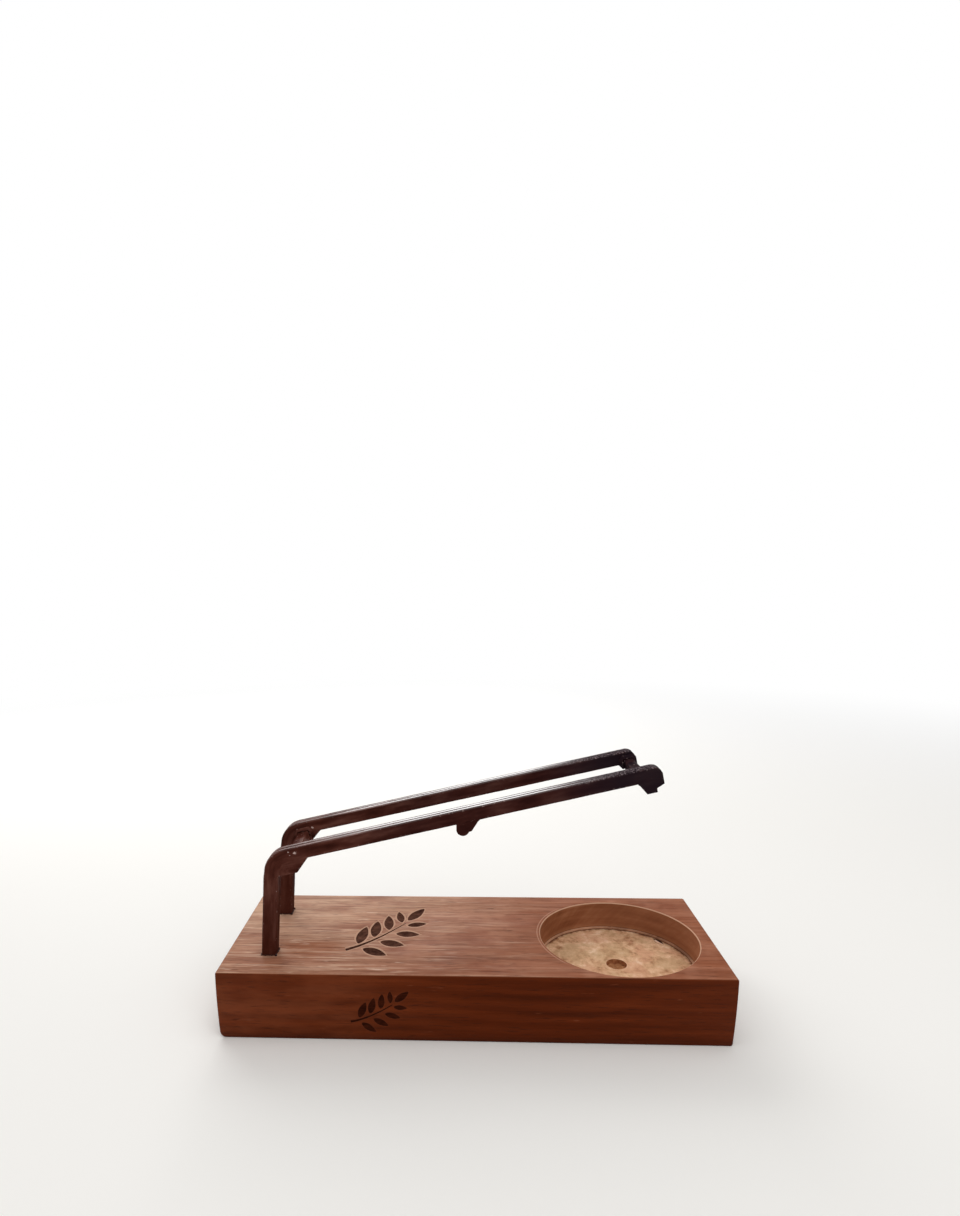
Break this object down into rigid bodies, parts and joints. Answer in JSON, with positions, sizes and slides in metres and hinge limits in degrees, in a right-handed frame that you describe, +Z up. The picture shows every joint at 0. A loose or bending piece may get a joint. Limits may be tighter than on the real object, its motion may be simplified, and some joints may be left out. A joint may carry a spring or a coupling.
{
  "type": "palo santo burner",
  "caption": "Hardwood block with a round ash bowl and a sloping rack of two bent square bars that holds a stick over the bowl.",
  "frame": {"origin": "centre of the underside of the wooden block", "axes": "+X along the block from the posts to the bowl, +Y from front to rear, +Z up"},
  "size_m": [0.21, 0.0754, 0.1122],
  "materials": {
    "hardwood": "oiled, half gloss",
    "painted_bar": "glossy dark brown paint",
    "weld": "glossy dark brown paint over lumpy weld",
    "glue": "set glue"
  },
  "bodies": {
    "root": {"base_block": "hardwood", "front_arm": "painted_bar", "rear_arm": "painted_bar", "bend_cross_bar": "painted_bar", "tip_cross_bar": "painted_bar", "middle_lug": "painted_bar", "bend_weld_front": "weld", "bend_weld_rear": "weld", "tip_weld_front": "weld", "tip_weld_end": "weld", "tip_weld_rear": "weld", "lug_weld": "weld", "front_post_glue": "glue", "rear_post_glue": "glue"}
  },
  "joints": []
}
